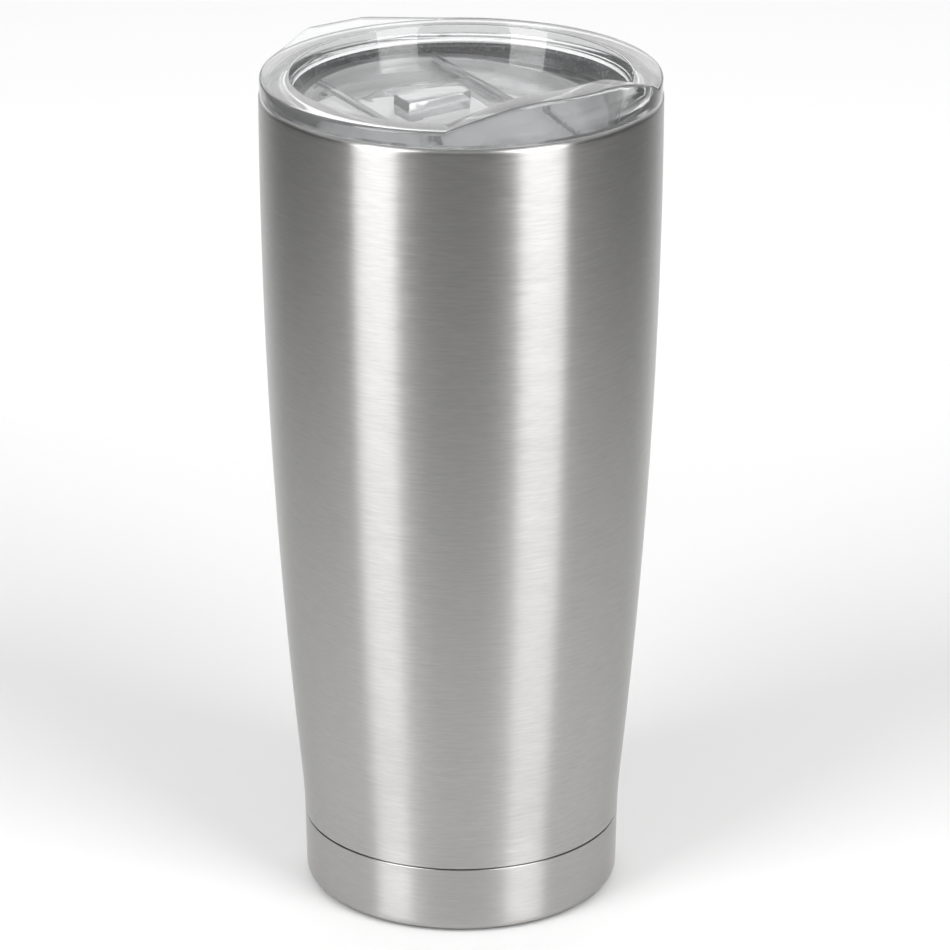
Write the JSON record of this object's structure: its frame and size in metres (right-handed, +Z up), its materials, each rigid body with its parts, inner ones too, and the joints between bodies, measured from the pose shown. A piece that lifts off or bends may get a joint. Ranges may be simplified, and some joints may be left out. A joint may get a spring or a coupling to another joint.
{
  "type": "insulated tumbler with lid",
  "caption": "Double-walled vacuum insulated steel tumbler with a clear press-in lid that has a raised spout, a lift tab and a sliding closure.",
  "frame": {"origin": "centre of the flat underside of the base cup, on the tumbler's axis", "axes": "+Z up along the tumbler's axis; the drinking spout points along -Y and the lid's lift tab along +Y"},
  "size_m": [0.0884, 0.0934, 0.1956],
  "materials": {
    "brushed_steel": "brushed round the body",
    "drawn_steel": "bright drawn",
    "getter_metal": "sintered, matt",
    "copper_foil": "bright foil",
    "solder_glass": "fused",
    "clear_plastic": "clear, polished",
    "clear_silicone": "translucent, satin"
  },
  "bodies": {
    "tumbler": {"outer_shell": "brushed_steel", "inner_liner": "drawn_steel", "liner_floor": "drawn_steel", "heat_shield_foil": "copper_foil", "vacuum_base_disc": "drawn_steel", "sealing_bead": "solder_glass", "getter_clip": "drawn_steel", "getter_pellet": "getter_metal", "base_cup": "brushed_steel"},
    "lid": {"lid_body": "clear_plastic", "lid_gasket": "clear_silicone"},
    "slider": {"slider": "clear_plastic"}
  },
  "joints": [
    {"name": "lid_lift", "type": "slide", "parent": "tumbler", "child": "lid", "axis": [0, 0, 1], "range_m": [0, 0.08]},
    {"name": "slider_slide", "type": "slide", "parent": "lid", "child": "slider", "axis": [0, 0.995, 0.0995], "range_m": [0, 0.011]}
  ]
}
